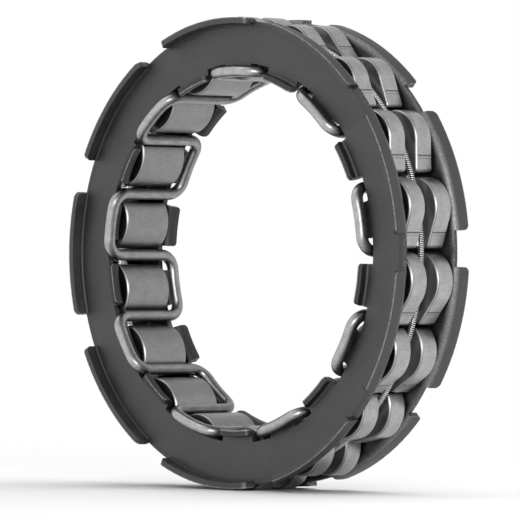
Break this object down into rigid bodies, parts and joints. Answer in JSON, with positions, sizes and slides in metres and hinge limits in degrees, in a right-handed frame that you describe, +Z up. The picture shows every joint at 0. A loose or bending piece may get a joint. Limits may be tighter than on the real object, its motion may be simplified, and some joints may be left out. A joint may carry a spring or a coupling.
{
  "type": "sprag clutch insert",
  "caption": "Sprag clutch insert: cam-shaped steel sprags rocking between two lipped end rings, on a serpentine wire, under a garter spring.",
  "frame": {"origin": "centre of the clutch, on its axis, midway between the two end rings", "axes": "+Y along the axis from the camera-side ring to the far ring, +Z up, standing on its outer lips"},
  "size_m": [0.0603, 0.013, 0.0608],
  "materials": {
    "ring_steel": "dark oiled pressing steel",
    "sprag_steel": "hardened and tumbled bearing steel",
    "wire_steel": "bright drawn spring wire",
    "spring_steel": "fine coiled spring wire"
  },
  "bodies": {
    "cage": {"front_ring": "ring_steel", "rear_ring": "ring_steel", "wire_cage": "wire_steel", "garter_spring": "spring_steel"},
    "sprag_01_body": {"sprag_01": "sprag_steel"},
    "sprag_02_body": {"sprag_02": "sprag_steel"},
    "sprag_03_body": {"sprag_03": "sprag_steel"},
    "sprag_04_body": {"sprag_04": "sprag_steel"},
    "sprag_05_body": {"sprag_05": "sprag_steel"},
    "sprag_06_body": {"sprag_06": "sprag_steel"},
    "sprag_07_body": {"sprag_07": "sprag_steel"},
    "sprag_08_body": {"sprag_08": "sprag_steel"},
    "sprag_09_body": {"sprag_09": "sprag_steel"},
    "sprag_10_body": {"sprag_10": "sprag_steel"},
    "sprag_11_body": {"sprag_11": "sprag_steel"},
    "sprag_12_body": {"sprag_12": "sprag_steel"},
    "sprag_13_body": {"sprag_13": "sprag_steel"},
    "sprag_14_body": {"sprag_14": "sprag_steel"},
    "sprag_15_body": {"sprag_15": "sprag_steel"},
    "sprag_16_body": {"sprag_16": "sprag_steel"},
    "sprag_17_body": {"sprag_17": "sprag_steel"},
    "sprag_18_body": {"sprag_18": "sprag_steel"}
  },
  "joints": [
    {"name": "rock_01", "type": "hinge", "parent": "cage", "child": "sprag_01_body", "pos_m": [0.02609, 0, 0.00436], "axis": [0, 1, 0], "range_deg": [-3, 13], "stiffness_Nm_per_rad": 0.02},
    {"name": "rock_02", "type": "hinge", "parent": "cage", "child": "sprag_02_body", "pos_m": [0.02303, 0, 0.01303], "axis": [0, 1, 0], "range_deg": [-3, 13], "stiffness_Nm_per_rad": 0.02},
    {"name": "rock_03", "type": "hinge", "parent": "cage", "child": "sprag_03_body", "pos_m": [0.01718, 0, 0.02011], "axis": [0, 1, 0], "range_deg": [-3, 13], "stiffness_Nm_per_rad": 0.02},
    {"name": "rock_04", "type": "hinge", "parent": "cage", "child": "sprag_04_body", "pos_m": [0.00927, 0, 0.02478], "axis": [0, 1, 0], "range_deg": [-3, 13], "stiffness_Nm_per_rad": 0.02},
    {"name": "rock_05", "type": "hinge", "parent": "cage", "child": "sprag_05_body", "pos_m": [0.00023, 0, 0.02645], "axis": [0, 1, 0], "range_deg": [-3, 13], "stiffness_Nm_per_rad": 0.02},
    {"name": "rock_06", "type": "hinge", "parent": "cage", "child": "sprag_06_body", "pos_m": [-0.00883, 0, 0.02494], "axis": [0, 1, 0], "range_deg": [-3, 13], "stiffness_Nm_per_rad": 0.02},
    {"name": "rock_07", "type": "hinge", "parent": "cage", "child": "sprag_07_body", "pos_m": [-0.01683, 0, 0.02041], "axis": [0, 1, 0], "range_deg": [-3, 13], "stiffness_Nm_per_rad": 0.02},
    {"name": "rock_08", "type": "hinge", "parent": "cage", "child": "sprag_08_body", "pos_m": [-0.02279, 0, 0.01343], "axis": [0, 1, 0], "range_deg": [-3, 13], "stiffness_Nm_per_rad": 0.02},
    {"name": "rock_09", "type": "hinge", "parent": "cage", "child": "sprag_09_body", "pos_m": [-0.02601, 0, 0.00482], "axis": [0, 1, 0], "range_deg": [-3, 13], "stiffness_Nm_per_rad": 0.02},
    {"name": "rock_10", "type": "hinge", "parent": "cage", "child": "sprag_10_body", "pos_m": [-0.02609, 0, -0.00436], "axis": [0, 1, 0], "range_deg": [-3, 13], "stiffness_Nm_per_rad": 0.02},
    {"name": "rock_11", "type": "hinge", "parent": "cage", "child": "sprag_11_body", "pos_m": [-0.02303, 0, -0.01303], "axis": [0, 1, 0], "range_deg": [-3, 13], "stiffness_Nm_per_rad": 0.02},
    {"name": "rock_12", "type": "hinge", "parent": "cage", "child": "sprag_12_body", "pos_m": [-0.01718, 0, -0.02011], "axis": [0, 1, 0], "range_deg": [-3, 13], "stiffness_Nm_per_rad": 0.02},
    {"name": "rock_13", "type": "hinge", "parent": "cage", "child": "sprag_13_body", "pos_m": [-0.00927, 0, -0.02478], "axis": [0, 1, 0], "range_deg": [-3, 13], "stiffness_Nm_per_rad": 0.02},
    {"name": "rock_14", "type": "hinge", "parent": "cage", "child": "sprag_14_body", "pos_m": [-0.00023, 0, -0.02645], "axis": [0, 1, 0], "range_deg": [-3, 13], "stiffness_Nm_per_rad": 0.02},
    {"name": "rock_15", "type": "hinge", "parent": "cage", "child": "sprag_15_body", "pos_m": [0.00883, 0, -0.02494], "axis": [0, 1, 0], "range_deg": [-3, 13], "stiffness_Nm_per_rad": 0.02},
    {"name": "rock_16", "type": "hinge", "parent": "cage", "child": "sprag_16_body", "pos_m": [0.01683, 0, -0.02041], "axis": [0, 1, 0], "range_deg": [-3, 13], "stiffness_Nm_per_rad": 0.02},
    {"name": "rock_17", "type": "hinge", "parent": "cage", "child": "sprag_17_body", "pos_m": [0.02279, 0, -0.01343], "axis": [0, 1, 0], "range_deg": [-3, 13], "stiffness_Nm_per_rad": 0.02},
    {"name": "rock_18", "type": "hinge", "parent": "cage", "child": "sprag_18_body", "pos_m": [0.02601, 0, -0.00482], "axis": [0, 1, 0], "range_deg": [-3, 13], "stiffness_Nm_per_rad": 0.02}
  ]
}
